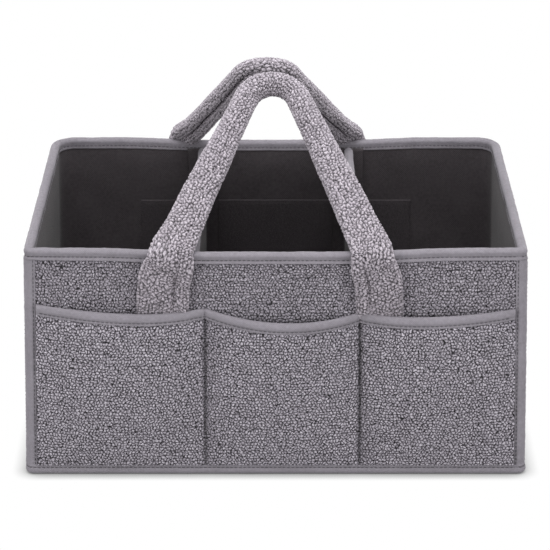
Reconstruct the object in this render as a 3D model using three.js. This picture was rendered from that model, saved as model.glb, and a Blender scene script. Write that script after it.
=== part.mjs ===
// A soft storage caddy: stiffened boucle walls with bound edges, three pockets front and rear,
// two folding carrying handles and two dividers that can be set along its length.
// Millimetres, +Z up, front at -Y, the origin on the floor below the middle.
import * as THREE from "three";

// Body
const RIM_LENGTH = 381;
const RIM_DEPTH = 272;
const RIM_HEIGHT = 186;
const BASE_FLARE = 4; // how far each wall stands out at the floor, beyond the rim
const FRONT_CORNER_RADIUS = 6;
const REAR_CORNER_RADIUS = 20;
const PANEL_SEAM_FROM_CURVE = 1; // of the front panel's side seams, from the start of the corner curve
const LINING_SEAM_FROM_CORNER = 2;

// Cloth, tape and board thicknesses
const TAPE = 1.2;
const BOUCLE = 2.4;
const BOARD = 1.5;
const LINING = 0.6;
const BASE_BOARD = 2.5;
const GAP = 0.3; // between neighbouring layers

// Widths of the binding tapes on the faces that they cover
const RIM_TAPE_WIDTH = 10;
const CORNER_TAPE_WIDTH = 9;
const BOTTOM_TAPE_WIDTH = 8;
const BOTTOM_TAPE_UNDER = 12;
const TAPE_FOLD_RADIUS = 3;
const FOLD_SEAT = 0.9; // how far down the fold's inner curve a wall's edge stops

// Pockets
const POCKET_HEIGHT_SHARE = 0.747; // of the rim's height, at the seams
const POCKET_SEAM_SHARE = 0.323; // of the panel's half length, from the middle to a seam
const POCKET_BULGE = 12;
const BULGE_SQUARENESS = 6; // how close to its seams a pocket swells
const BULGE_RISE = 3; // how close to its bottom a pocket swells
const SIDE_MOUTH_DIP = 4;
const MIDDLE_MOUTH_DIP = 8;
const POCKET_TAPE = 0.8;
const POCKET_TAPE_WIDTH = 8;
const POCKET_END_INSET = 3; // of the rear panel's ends, from the start of the corner curve

// Handles
const STRAP_FROM_SEAM = 4.5; // from the front pocket's seam to the strap's inner edge
const HANDLE_RISE = 151; // from the hinge line to the grip's middle, along the handle
const HANDLE_LEAN_DEGREES = 51; // inwards, from upright, unless the two grips would meet
const HINGE_ABOVE_RIM = 0.5;
const GRIP_BEND_RADIUS = 21;
const GRIP_DIAMETER = 18.5;
const STRAP_WIDTH = 36;
const STRAP_THICKNESS = 8;
const STRAP_TAPER = 1.9; // power of the width's fall towards the grip
const ROUND_FROM_SHARE = 0.7; // of the way to the grip's middle, where the strap has become round
const STRAP_SQUARENESS = 3.2; // power of the strap's section at the rim
const ROUND_SECTION = 2;
const HANDLE_COVER = 2.6;
const STRAP_END_THICKNESS = 6.5;
const STRAP_END_PRESSED = 3.5; // where the pocket lies over it
const STRAP_END_LENGTH = 72;
const STRAP_END_SQUARENESS = 5;
const PRESS_ABOVE_POCKET = 4;
const PRESS_BELOW_POCKET = 2;

// Dividers
const DIVIDER_PLACE = 62; // from the middle
const DIVIDER_BELOW_RIM = 6;
const DIVIDER_BOARD = 2;
const DIVIDER_CLOTH = 1;
const DIVIDER_FLAP_WIDTH = 26;
const HOOK_TAPE = 0.9;
const HOOK_WIDTH = 20;
const HOOK_HEIGHT = 50;
const HOOK_HEIGHT_SHARE = 0.54; // of the rim's height, to the middle of the hook tapes
const LOOP_LENGTH = 230;
const LOOP_HEIGHT = 60;

// Facets
const CORNER_STEPS = 4;
const FOLD_STEPS = 3;
const BAY_STEPS = 10;
const POCKET_ROWS = 6;
const ROW_CROWDING = 1.4;
const POCKET_FOLD_STEPS = 2;
const GRIP_SIDES = 14;
const LEG_STEPS = 6;
const BEND_STEPS = 5;
const LEAST_RADIUS = 0.6;

// Insets of the layers from the outside of the bound edges
const BOUCLE_OUT = TAPE + GAP;
const BOUCLE_IN = BOUCLE_OUT + BOUCLE;
const BOARD_OUT = BOUCLE_IN + GAP;
const BOARD_IN = BOARD_OUT + BOARD;
const LINING_OUT = BOARD_IN + GAP;
const LINING_IN = LINING_OUT + LINING;
const RIM_TAPE_IN = LINING_IN + GAP + TAPE;

// Heights of the layers
const WALL_BOTTOM = TAPE + (TAPE_FOLD_RADIUS - TAPE) * FOLD_SEAT;
const WALL_TOP = RIM_HEIGHT - WALL_BOTTOM;
const COVER_BOTTOM = TAPE + GAP;
const BASE_BOTTOM = COVER_BOTTOM + LINING + GAP;
const BASE_TOP = BASE_BOTTOM + BASE_BOARD;
const INNER_BOTTOM = BASE_TOP + GAP;
const FLOOR_TOP = INNER_BOTTOM + LINING;

const HALF_LENGTH = RIM_LENGTH / 2;
const HALF_DEPTH = RIM_DEPTH / 2;
const SEAM_HALF = HALF_LENGTH - FRONT_CORNER_RADIUS - PANEL_SEAM_FROM_CURVE;
const HOOK_MIDDLE = RIM_HEIGHT * HOOK_HEIGHT_SHARE;

// Pocket and strap places
const POCKET_BOTTOM = BOTTOM_TAPE_WIDTH + GAP;
const POCKET_PEAK = RIM_HEIGHT * POCKET_HEIGHT_SHARE;
const FRONT_POCKET_HALF = HALF_LENGTH - CORNER_TAPE_WIDTH - GAP;
const REAR_POCKET_HALF = HALF_LENGTH - REAR_CORNER_RADIUS - POCKET_END_INSET;
const FRONT_SEAM = FRONT_POCKET_HALF * POCKET_SEAM_SHARE;
const STRAP_PLACE = FRONT_SEAM + STRAP_FROM_SEAM + STRAP_WIDTH / 2;

// The line that each handle folds about, and its lean
const HINGE_Y = HALF_DEPTH + GAP + STRAP_END_THICKNESS;
const HINGE_Z = RIM_HEIGHT + HINGE_ABOVE_RIM;
const HANDLE_LEAN = Math.min(
  THREE.MathUtils.degToRad(HANDLE_LEAN_DEGREES),
  Math.asin(Math.min(1, (HINGE_Y - GRIP_DIAMETER) / HANDLE_RISE)),
);

// Materials
function cloth(color, roughness) {
  return new THREE.MeshStandardMaterial({ color, roughness, metalness: 0 });
}
const makeBoucle = () => cloth(0x8f898f, 0.95);
const makeSherpa = () => cloth(0xa19ba2, 0.97);
const makeTape = () => cloth(0x837d83, 0.85);
const makeLining = () => cloth(0x3a3638, 0.9);
const makeBoard = () => cloth(0xb9ad97, 0.8);
const makeFilling = () => cloth(0xe6e2dc, 0.95);
const makeLoop = () => cloth(0x4a4648, 0.98);

const caddy = new THREE.Group();

function addPiece(name, geometry, material) {
  const mesh = new THREE.Mesh(geometry, material);
  mesh.name = name;
  caddy.add(mesh);
  return mesh;
}

// A closed mesh of quads between neighbouring rings of equal length.
// Its ends are capped, or joined where it is a loop.
function loft(rings, { loop = false, capOf = null } = {}) {
  const count = rings[0].length;
  const points = rings.flat();
  const faces = [];
  const last = loop ? rings.length : rings.length - 1;
  for (let i = 0; i < last; i += 1) {
    const here = i * count;
    const next = ((i + 1) % rings.length) * count;
    for (let k = 0; k < count; k += 1) {
      const m = (k + 1) % count;
      faces.push([here + k, next + k, next + m], [here + k, next + m, here + m]);
    }
  }
  if (!loop) {
    faces.push(...capOf(rings[0]));
    const end = (rings.length - 1) * count;
    for (const [a, b, c] of capOf(rings.at(-1))) {
      faces.push([end + a, end + c, end + b]);
    }
  }
  return closedMesh(points, faces);
}

// Turns the faces outwards, by the sign of the volume that they enclose.
function closedMesh(points, faces) {
  let volume = 0;
  for (const [a, b, c] of faces) {
    volume += points[a].dot(new THREE.Vector3().crossVectors(points[b], points[c]));
  }
  const index = faces.flatMap(([a, b, c]) => (volume > 0 ? [a, b, c] : [a, c, b]));
  const geometry = new THREE.BufferGeometry().setFromPoints(points);
  geometry.setIndex(index);
  geometry.computeVertexNormals();
  return geometry;
}

// Cap triangles of a ring seen along X, for sections across the length.
function capAlongX(ring) {
  const outline = ring.map((p) => new THREE.Vector2(p.y, p.z));
  return THREE.ShapeUtils.triangulateShape(outline, []);
}

// Cap triangles of a convex ring.
function capConvex(ring) {
  return Array.from({ length: ring.length - 2 }, (_, k) => [0, k + 1, k + 2]);
}

// The walls lean: every layer of the body is spread by the same amount at the same height.
function flare(geometry, spreadLength = 1) {
  const places = geometry.attributes.position;
  for (let i = 0; i < places.count; i += 1) {
    const drop = Math.max(0, 1 - places.getZ(i) / RIM_HEIGHT);
    places.setX(i, places.getX(i) * (1 + (spreadLength * BASE_FLARE * drop) / HALF_LENGTH));
    places.setY(i, places.getY(i) * (1 + (BASE_FLARE * drop) / HALF_DEPTH));
  }
  geometry.computeVertexNormals();
  return geometry;
}

function arc(x, y, radius, fromDegrees, turnDegrees, steps) {
  return Array.from({ length: steps + 1 }, (_, k) => {
    const angle = THREE.MathUtils.degToRad(fromDegrees + (turnDegrees * k) / steps);
    return new THREE.Vector2(x + radius * Math.cos(angle), y + radius * Math.sin(angle));
  });
}

// The plan of the body at an inset, from the front right corner round to the front left one.
function planLoop(inset) {
  const x = HALF_LENGTH - inset;
  const y = HALF_DEPTH - inset;
  const front = Math.max(FRONT_CORNER_RADIUS - inset, LEAST_RADIUS);
  const rear = Math.max(REAR_CORNER_RADIUS - inset, LEAST_RADIUS);
  return [
    ...arc(x - front, front - y, front, -90, 90, CORNER_STEPS),
    ...arc(x - rear, y - rear, rear, 0, 90, CORNER_STEPS),
    ...arc(rear - x, y - rear, rear, 90, 90, CORNER_STEPS),
    ...arc(front - x, front - y, front, 180, 90, CORNER_STEPS),
  ];
}

function upright(outline, bottom, top, hole = null) {
  const shape = new THREE.Shape(outline);
  if (hole) {
    shape.holes.push(new THREE.Path(hole));
  }
  const geometry = new THREE.ExtrudeGeometry(shape, { depth: top - bottom, bevelEnabled: false });
  return geometry.translate(0, 0, bottom);
}

function block(x0, x1, y0, y1, z0, z1) {
  const geometry = new THREE.BoxGeometry(x1 - x0, y1 - y0, z1 - z0);
  return geometry.translate((x0 + x1) / 2, (y0 + y1) / 2, (z0 + z1) / 2);
}

// One length of cloth round the sides and the rear, with its two ends on the front face.
function wrapOutline(outInset, inInset, endX) {
  const outer = planLoop(outInset);
  const inner = planLoop(inInset).reverse();
  const outY = outInset - HALF_DEPTH;
  const inY = inInset - HALF_DEPTH;
  return [
    new THREE.Vector2(endX, outY),
    ...outer,
    new THREE.Vector2(-endX, outY),
    new THREE.Vector2(-endX, inY),
    ...inner,
    new THREE.Vector2(endX, inY),
  ];
}

// A folded tape over an edge: two legs and a rounded fold, as [across, height] pairs.
function foldedTape(width, thickness, top, bottom, radius, steps) {
  const half = width / 2;
  const fold = (inset) => {
    const bend = Math.max(radius - inset, thickness / 4);
    const x = half - inset - bend;
    const y = top - inset - bend;
    return [...arc(-x, y, bend, 180, -90, steps), ...arc(x, y, bend, 90, -90, steps)];
  };
  return [
    new THREE.Vector2(-half, bottom),
    ...fold(0),
    new THREE.Vector2(half, bottom),
    new THREE.Vector2(half - thickness, bottom),
    ...fold(thickness).reverse(),
    new THREE.Vector2(thickness - half, bottom),
  ];
}

// Sweeps an [inset, height] profile round the plan of the body.
function sweepRound(profile) {
  const rings = profile.map((p) => planLoop(p.x).map((q) => new THREE.Vector3(q.x, q.y, p.y)));
  return loft(rings, { loop: true });
}

function addWalls() {
  const wrap = wrapOutline(BOUCLE_OUT, BOUCLE_IN, SEAM_HALF);
  addPiece("wrap_outer_panel", flare(upright(wrap, WALL_BOTTOM, WALL_TOP)), makeBoucle());
  const frontX = SEAM_HALF - GAP;
  const front = block(
    -frontX, frontX, BOUCLE_OUT - HALF_DEPTH, BOUCLE_IN - HALF_DEPTH, WALL_BOTTOM, WALL_TOP,
  );
  addPiece("front_outer_panel", flare(front), makeBoucle());

  const liningSeam = HALF_LENGTH - LINING_IN - LINING_SEAM_FROM_CORNER;
  const liner = wrapOutline(LINING_OUT, LINING_IN, liningSeam);
  addPiece("wrap_lining", flare(upright(liner, INNER_BOTTOM, WALL_TOP)), makeLining());
  const linerX = liningSeam - GAP;
  const linerFront = block(
    -linerX, linerX, LINING_OUT - HALF_DEPTH, LINING_IN - HALF_DEPTH, INNER_BOTTOM, WALL_TOP,
  );
  addPiece("front_lining", flare(linerFront), makeLining());
}

function addBoards() {
  const frontX = HALF_LENGTH - FRONT_CORNER_RADIUS - BOARD;
  const rearX = HALF_LENGTH - REAR_CORNER_RADIUS - GAP;
  const yOut = HALF_DEPTH - BOARD_OUT;
  const yIn = HALF_DEPTH - BOARD_IN;
  addPiece("front_board", flare(block(-frontX, frontX, -yOut, -yIn, INNER_BOTTOM, WALL_TOP)), makeBoard());
  addPiece("rear_board", flare(block(-rearX, rearX, yIn, yOut, INNER_BOTTOM, WALL_TOP)), makeBoard());
  const sideFront = FRONT_CORNER_RADIUS + BOARD - HALF_DEPTH;
  const sideRear = HALF_DEPTH - REAR_CORNER_RADIUS - GAP;
  const xOut = HALF_LENGTH - BOARD_OUT;
  const xIn = HALF_LENGTH - BOARD_IN;
  const left = block(-xOut, -xIn, sideFront, sideRear, INNER_BOTTOM, WALL_TOP);
  const right = block(xIn, xOut, sideFront, sideRear, INNER_BOTTOM, WALL_TOP);
  addPiece("left_board", flare(left), makeBoard());
  addPiece("right_board", flare(right), makeBoard());
}

function addFloor() {
  const under = planLoop(BOUCLE_IN + GAP);
  addPiece("bottom_cover", flare(upright(under, COVER_BOTTOM, COVER_BOTTOM + LINING)), makeTape());
  addPiece("base_board", flare(upright(under, BASE_BOTTOM, BASE_TOP)), makeBoard());
  addPiece("floor_lining", flare(upright(planLoop(LINING_IN + GAP), INNER_BOTTOM, FLOOR_TOP)), makeLining());
}

function addBindings() {
  const rim = foldedTape(
    RIM_TAPE_IN, TAPE, RIM_HEIGHT, RIM_HEIGHT - RIM_TAPE_WIDTH, TAPE_FOLD_RADIUS, FOLD_STEPS,
  );
  const rimProfile = rim.map((p) => new THREE.Vector2(p.x + RIM_TAPE_IN / 2, p.y));
  addPiece("rim_binding", flare(sweepRound(rimProfile)), makeTape());

  const bend = TAPE_FOLD_RADIUS;
  const bottomProfile = [
    new THREE.Vector2(0, BOTTOM_TAPE_WIDTH),
    ...arc(bend, bend, bend, 180, 90, FOLD_STEPS),
    new THREE.Vector2(BOTTOM_TAPE_UNDER, 0),
    new THREE.Vector2(BOTTOM_TAPE_UNDER, TAPE),
    ...arc(bend, bend, bend - TAPE, 270, -90, FOLD_STEPS),
    new THREE.Vector2(TAPE, BOTTOM_TAPE_WIDTH),
  ];
  addPiece("bottom_binding", flare(sweepRound(bottomProfile)), makeTape());

  const reach = CORNER_TAPE_WIDTH;
  const cornerArc = (inset) => planLoop(inset).slice(0, CORNER_STEPS + 1);
  const outline = [
    new THREE.Vector2(HALF_LENGTH - reach, -HALF_DEPTH),
    ...cornerArc(0),
    new THREE.Vector2(HALF_LENGTH, reach - HALF_DEPTH),
    new THREE.Vector2(HALF_LENGTH - TAPE, reach - HALF_DEPTH),
    ...cornerArc(TAPE).reverse(),
    new THREE.Vector2(HALF_LENGTH - reach, TAPE - HALF_DEPTH),
  ];
  const mirrored = outline.map((p) => new THREE.Vector2(-p.x, p.y)).reverse();
  const low = BOTTOM_TAPE_WIDTH + GAP;
  const high = RIM_HEIGHT - RIM_TAPE_WIDTH - GAP;
  addPiece("right_corner_binding", flare(upright(outline, low, high)), makeTape());
  addPiece("left_corner_binding", flare(upright(mirrored, low, high)), makeTape());
}

// How far a pocket stands off its wall: across runs from -1 to 1 between its seams, z is the height.
function pocketSwell(across, z) {
  const up = Math.min(1, (z - POCKET_BOTTOM) / (POCKET_PEAK - POCKET_BOTTOM));
  return POCKET_BULGE * (1 - Math.abs(across) ** BULGE_SQUARENESS) * (1 - (1 - up) ** BULGE_RISE);
}

// A pocket panel is sewn down at its ends and along two seams, and swells between them.
function pocketRule(halfLength) {
  const seam = halfLength * POCKET_SEAM_SHARE;
  const bays = [
    { from: -halfLength, to: -seam, dip: SIDE_MOUTH_DIP },
    { from: -seam, to: seam, dip: MIDDLE_MOUTH_DIP },
    { from: seam, to: halfLength, dip: SIDE_MOUTH_DIP },
  ];
  const stations = bays.flatMap((bay, b) => {
    const first = b === 0 ? 0 : 1;
    return Array.from({ length: BAY_STEPS + 1 - first }, (_, k) => {
      const share = (1 - Math.cos((Math.PI * (k + first)) / BAY_STEPS)) / 2;
      return { x: bay.from + (bay.to - bay.from) * share, across: 2 * share - 1, dip: bay.dip };
    });
  });
  const mouth = (station) => POCKET_PEAK - station.dip * (1 - station.across ** 2);
  const place = (station, outwards, z) => {
    const standOff = GAP + pocketSwell(station.across, z) + outwards;
    return new THREE.Vector3(station.x, BOUCLE_OUT - HALF_DEPTH - standOff, z);
  };
  return { stations, mouth, place };
}

function pocketPanel({ stations, mouth, place }) {
  const tongueBack = POCKET_TAPE + GAP;
  const tongueFront = 2 * POCKET_TAPE + GAP;
  const rings = stations.map((station) => {
    const shoulder = mouth(station) - POCKET_TAPE_WIDTH - GAP;
    const tip = mouth(station) - POCKET_TAPE - GAP;
    const rows = Array.from({ length: POCKET_ROWS + 1 }, (_, k) => {
      return POCKET_BOTTOM + (shoulder - POCKET_BOTTOM) * (k / POCKET_ROWS) ** ROW_CROWDING;
    });
    return [
      ...rows.map((z) => place(station, 0, z)),
      place(station, tongueBack, shoulder),
      place(station, tongueBack, tip),
      place(station, tongueFront, tip),
      place(station, tongueFront, shoulder),
      ...rows.reverse().map((z) => place(station, BOUCLE, z)),
    ];
  });
  return flare(loft(rings, { capOf: capAlongX }));
}

function pocketBinding({ stations, mouth, place }) {
  const width = 3 * POCKET_TAPE + 2 * GAP;
  const rings = stations.map((station) => {
    const top = mouth(station);
    const bottom = top - POCKET_TAPE_WIDTH;
    const profile = foldedTape(width, POCKET_TAPE, top, bottom, width / 3, POCKET_FOLD_STEPS);
    return profile.map((p) => place(station, p.x + width / 2, p.y));
  });
  return flare(loft(rings, { capOf: capAlongX }));
}

function addPockets() {
  const frontRule = pocketRule(FRONT_POCKET_HALF);
  addPiece("front_pocket_panel", pocketPanel(frontRule), makeBoucle());
  addPiece("front_pocket_binding", pocketBinding(frontRule), makeTape());
  const rearRule = pocketRule(REAR_POCKET_HALF);
  const panel = addPiece("rear_pocket_panel", pocketPanel(rearRule), makeBoucle());
  const binding = addPiece("rear_pocket_binding", pocketBinding(rearRule), makeTape());
  panel.rotation.z = Math.PI;
  binding.rotation.z = Math.PI;
}

// A superellipse ring: flat strap at a high power, round grip at 2.
function ringShare(power, sides) {
  const ease = (value) => Math.sign(value) * Math.abs(value) ** (2 / power);
  return Array.from({ length: sides }, (_, k) => {
    const angle = (2 * Math.PI * (k + 0.5)) / sides;
    return { across: ease(Math.cos(angle)), through: ease(Math.sin(angle)) };
  });
}

// The handle's middle line in its own plane: straight legs and a round bend.
function handleLine() {
  const foot = STRAP_PLACE;
  const bendMiddle = HANDLE_RISE - GRIP_BEND_RADIUS;
  const reach = Math.hypot(foot, bendMiddle);
  const slant = Math.acos(GRIP_BEND_RADIUS / reach) - Math.atan2(bendMiddle, foot);
  const meetX = GRIP_BEND_RADIUS * Math.cos(slant);
  const meetRise = bendMiddle + GRIP_BEND_RADIUS * Math.sin(slant);
  const legLength = Math.hypot(foot - meetX, meetRise);
  const bendTurn = Math.PI / 2 - slant;
  const half = legLength + GRIP_BEND_RADIUS * bendTurn;
  const stations = [];
  for (let k = 0; k <= LEG_STEPS; k += 1) {
    const share = k / LEG_STEPS;
    const x = foot + (meetX - foot) * share;
    stations.push({ x, rise: meetRise * share, slant, gone: (legLength * share) / half });
  }
  for (let k = 1; k <= BEND_STEPS; k += 1) {
    const turn = slant + (bendTurn * k) / BEND_STEPS;
    stations.push({
      x: GRIP_BEND_RADIUS * Math.cos(turn),
      rise: bendMiddle + GRIP_BEND_RADIUS * Math.sin(turn),
      slant: turn,
      gone: (legLength + (GRIP_BEND_RADIUS * bendTurn * k) / BEND_STEPS) / half,
    });
  }
  const other = stations.slice(0, -1).reverse();
  const mirrored = other.map((s) => ({ x: -s.x, rise: s.rise, slant: Math.PI - s.slant, gone: s.gone }));
  return [...stations, ...mirrored];
}

// Rings of the handle, drawn in by a depth below its outer skin, with both feet cut level above the rim.
function handleRings(depth) {
  const line = handleLine();
  const cut = HINGE_Z + GAP / 2;
  return line.map((station, place) => {
    const flat = (1 - station.gone) ** STRAP_TAPER;
    const round = THREE.MathUtils.smoothstep(station.gone, 0, ROUND_FROM_SHARE);
    const power = THREE.MathUtils.lerp(STRAP_SQUARENESS, ROUND_SECTION, round);
    const halfWidth = (GRIP_DIAMETER + (STRAP_WIDTH - GRIP_DIAMETER) * flat) / 2 - depth;
    const halfThick = (STRAP_THICKNESS + (GRIP_DIAMETER - STRAP_THICKNESS) * round) / 2 - depth;
    const atFoot = place === 0 || place === line.length - 1;
    return ringShare(power, GRIP_SIDES).map(({ across, through }) => {
      let x = station.x + halfWidth * across * Math.cos(station.slant);
      let rise = station.rise + halfWidth * across * Math.sin(station.slant);
      const out = halfThick * through - STRAP_THICKNESS / 2;
      if (atFoot) {
        const level = (cut - HINGE_Z - out * Math.sin(HANDLE_LEAN)) / Math.cos(HANDLE_LEAN);
        x -= (level - rise) * Math.tan(station.slant);
        rise = level;
      }
      const y = rise * Math.sin(HANDLE_LEAN) - out * Math.cos(HANDLE_LEAN) - HINGE_Y;
      const z = rise * Math.cos(HANDLE_LEAN) + out * Math.sin(HANDLE_LEAN) + HINGE_Z;
      return new THREE.Vector3(x, y, z);
    });
  });
}

// A sleeve that is open at both feet, between an outer and an inner set of rings.
function sleeve(outer, inner) {
  const across = outer[0].map((_, k) => [
    ...outer.map((ring) => ring[k]),
    ...inner.map((ring) => ring[k]).reverse(),
  ]);
  return loft(across, { loop: true });
}

// The sewn end of a strap: over the rim tape, down the panel, and pressed flat behind the pocket.
function strapEnd(middleX) {
  const top = HINGE_Z - GAP / 2;
  const underTape = RIM_HEIGHT - RIM_TAPE_WIDTH - GAP;
  const bottom = RIM_HEIGHT - STRAP_END_LENGTH;
  const bayHalf = (FRONT_POCKET_HALF - FRONT_SEAM) / 2;
  const room = pocketSwell(1 - STRAP_FROM_SEAM / bayHalf, bottom) - 2 * GAP;
  const pressed = Math.min(STRAP_END_PRESSED, room);
  const onTape = HALF_DEPTH + GAP;
  const onPanel = HALF_DEPTH - BOUCLE_OUT + GAP;
  const levels = [
    { z: top, back: onTape, thick: STRAP_END_THICKNESS },
    { z: underTape, back: onTape, thick: STRAP_END_THICKNESS },
    { z: underTape - TAPE, back: onPanel, thick: STRAP_END_THICKNESS },
    { z: POCKET_PEAK + PRESS_ABOVE_POCKET, back: onPanel, thick: STRAP_END_THICKNESS - TAPE },
    { z: POCKET_PEAK - PRESS_BELOW_POCKET, back: onPanel, thick: pressed },
    { z: bottom, back: onPanel, thick: pressed / 2 },
  ];
  const section = ringShare(STRAP_END_SQUARENESS, GRIP_SIDES);
  const rings = levels.map(({ z, back, thick }) => section.map(({ across, through }) => {
    const y = -back - (thick / 2) * (1 + through);
    return new THREE.Vector3(middleX + (STRAP_WIDTH / 2) * across, y, z);
  }));
  return flare(loft(rings, { capOf: capConvex }));
}

function addHandles() {
  const cover = sleeve(handleRings(0), handleRings(HANDLE_COVER));
  const core = loft(handleRings(HANDLE_COVER + GAP), { capOf: capConvex });
  for (const [side, turn] of [["front", 0], ["rear", Math.PI]]) {
    const pieces = [
      addPiece(`${side}_handle_cover`, cover.clone(), makeSherpa()),
      addPiece(`${side}_handle_core`, core.clone(), makeFilling()),
    ];
    for (const [hand, sign] of [["left", -1], ["right", 1]]) {
      const handed = turn === 0 ? sign : -sign;
      const end = strapEnd(handed * STRAP_PLACE);
      pieces.push(addPiece(`${side}_${hand}_strap_end`, end, makeSherpa()));
    }
    for (const piece of pieces) {
      piece.rotation.z = turn;
    }
  }
}

function addLoopBands() {
  const out = HALF_DEPTH - LINING_IN - GAP;
  const inner = out - HOOK_TAPE;
  const low = HOOK_MIDDLE - LOOP_HEIGHT / 2;
  const high = HOOK_MIDDLE + LOOP_HEIGHT / 2;
  const half = LOOP_LENGTH / 2;
  addPiece("front_loop_band", flare(block(-half, half, -out, -inner, low, high)), makeLoop());
  addPiece("rear_loop_band", flare(block(-half, half, inner, out, low, high)), makeLoop());
}

// An I-shaped cover round a board, with a bound top edge and hook tape on both end flaps.
function addDivider(side, middleX) {
  const hookFace = HALF_DEPTH - LINING_IN - 2 * GAP - HOOK_TAPE;
  const flapFace = hookFace - HOOK_TAPE - GAP;
  const webEnd = flapFace - DIVIDER_CLOTH;
  const webHalf = DIVIDER_BOARD / 2 + GAP + DIVIDER_CLOTH;
  const flapHalf = DIVIDER_FLAP_WIDTH / 2;
  const corner = [
    new THREE.Vector2(webHalf, webEnd),
    new THREE.Vector2(flapHalf, webEnd),
    new THREE.Vector2(flapHalf, flapFace),
  ];
  const turnHalf = (points) => points.map((p) => new THREE.Vector2(-p.x, -p.y));
  const mirrorY = (points) => points.map((p) => new THREE.Vector2(p.x, -p.y)).reverse();
  const rightSide = [...mirrorY(corner), ...corner];
  const outline = [...rightSide, ...turnHalf(rightSide)];
  const holeX = DIVIDER_BOARD / 2 + GAP;
  const holeY = webEnd - DIVIDER_CLOTH;
  const hole = [
    new THREE.Vector2(-holeX, -holeY),
    new THREE.Vector2(-holeX, holeY),
    new THREE.Vector2(holeX, holeY),
    new THREE.Vector2(holeX, -holeY),
  ];
  const bottom = FLOOR_TOP + GAP;
  const tapeTop = RIM_HEIGHT - DIVIDER_BELOW_RIM;
  const coverTop = tapeTop - TAPE - GAP;
  const boardHalf = DIVIDER_BOARD / 2;
  const boardEnd = holeY - GAP;
  const tapeEnd = webEnd - GAP;
  const tapeWidth = 2 * (webHalf + GAP + TAPE);
  const tape = foldedTape(tapeWidth, TAPE, tapeTop, tapeTop - RIM_TAPE_WIDTH, TAPE, FOLD_STEPS);
  const edge = new THREE.ExtrudeGeometry(new THREE.Shape(tape), { depth: 2 * tapeEnd, bevelEnabled: false });
  edge.rotateX(Math.PI / 2).translate(0, tapeEnd, 0);
  const hookLow = HOOK_MIDDLE - HOOK_HEIGHT / 2;
  const hookHigh = HOOK_MIDDLE + HOOK_HEIGHT / 2;
  const hookHalf = HOOK_WIDTH / 2;
  const shapes = {
    cover: [upright(outline, bottom, coverTop, hole), makeLining()],
    board: [block(-boardHalf, boardHalf, -boardEnd, boardEnd, bottom, coverTop), makeBoard()],
    binding: [edge, makeTape()],
    front_hook: [block(-hookHalf, hookHalf, -hookFace, HOOK_TAPE - hookFace, hookLow, hookHigh), makeLoop()],
    rear_hook: [block(-hookHalf, hookHalf, hookFace - HOOK_TAPE, hookFace, hookLow, hookHigh), makeLoop()],
  };
  for (const [part, [geometry, material]] of Object.entries(shapes)) {
    const piece = addPiece(`${side}_divider_${part}`, flare(geometry, 0), material);
    piece.position.x = middleX;
  }
}

addWalls();
addBoards();
addFloor();
addBindings();
addPockets();
addHandles();
addLoopBands();
addDivider("left", -DIVIDER_PLACE);
addDivider("right", DIVIDER_PLACE);

export default caddy;
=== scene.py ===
import math

import bpy
import numpy as np
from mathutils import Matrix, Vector


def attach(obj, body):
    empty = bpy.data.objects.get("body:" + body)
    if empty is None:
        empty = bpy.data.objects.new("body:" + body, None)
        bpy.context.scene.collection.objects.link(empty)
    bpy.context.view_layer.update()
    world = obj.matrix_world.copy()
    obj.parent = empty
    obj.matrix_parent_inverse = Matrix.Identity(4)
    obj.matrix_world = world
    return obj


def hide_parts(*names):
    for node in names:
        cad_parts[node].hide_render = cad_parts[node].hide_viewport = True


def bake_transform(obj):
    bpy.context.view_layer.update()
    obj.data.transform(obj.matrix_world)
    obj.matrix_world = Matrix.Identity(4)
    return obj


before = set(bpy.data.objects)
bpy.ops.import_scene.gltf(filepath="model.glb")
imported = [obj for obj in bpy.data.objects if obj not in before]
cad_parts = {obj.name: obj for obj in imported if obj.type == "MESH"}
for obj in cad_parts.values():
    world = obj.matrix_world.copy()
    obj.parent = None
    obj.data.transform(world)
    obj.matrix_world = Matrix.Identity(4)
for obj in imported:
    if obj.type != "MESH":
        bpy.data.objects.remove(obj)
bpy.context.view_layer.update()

# Lengths are in millimetres, except in the materials and on the stage. These are as in the solids.
HALF_LENGTH = 190.5
HALF_DEPTH = 136.0
RIM = 186.0
FLARE = 4.0
FRONT_RADIUS = 6.0
REAR_RADIUS = 20.0
LEAST_RADIUS = 0.6
WALL_BOTTOM = 2.82
WALL_TOP = 183.18
BOUCLE_OUT = 1.5
BOUCLE = 2.4
LINING_IN = 6.6
INNER_BOTTOM = 5.2
BOARD_IN = 4.3
TAPE = 1.2
RIM_TAPE_IN = 7.3
DIVIDER_TAPE_WIDTH = 10.0
DIVIDER_TAPE_TOP = 180.0
CORNER_TAPE_WIDTH = 9.0
BOTTOM_TAPE_WIDTH = 8.0
BOTTOM_TAPE_UNDER = 12.0
POCKET_TAPE_WIDTH = 8.0
POCKET_BOTTOM = 8.3
POCKET_PEAK = 0.747 * RIM
FRONT_POCKET_HALF = 181.2
REAR_POCKET_HALF = 167.5
SEAM_SHARE = 0.323
HINGE_Y = 142.8
HINGE_Z = 186.5
HANDLE_LEAN = math.radians(51)
HOOK_MIDDLE = 0.54 * RIM

# These differ from the solids, because the caddy in the photo isn't sewn quite evenly.
RIM_TAPE_WIDTH = 8.8
POCKET_BULGE = 9.5
MOUTH_PULL = 0.85
MOUTH_SKEW = 0.35
MOUTH_DIPS = (4.0, 7.6, 2.7)
FRONT_MOUTH_LEVELS = (3.0, 0.4, -3.0, -0.8)
FRONT_SEAM_SHIFT = 5.0
STRAP_PLACE = 75.5
HANDLE_RISE = 154.5
FRONT_HANDLE_SHIFT = -2.6
REAR_HANDLE_SHIFT = -7.5

# How far the soft front and rear walls bow out and sag at the rim.
BOW = 2.2
SAG = 2.6

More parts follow.
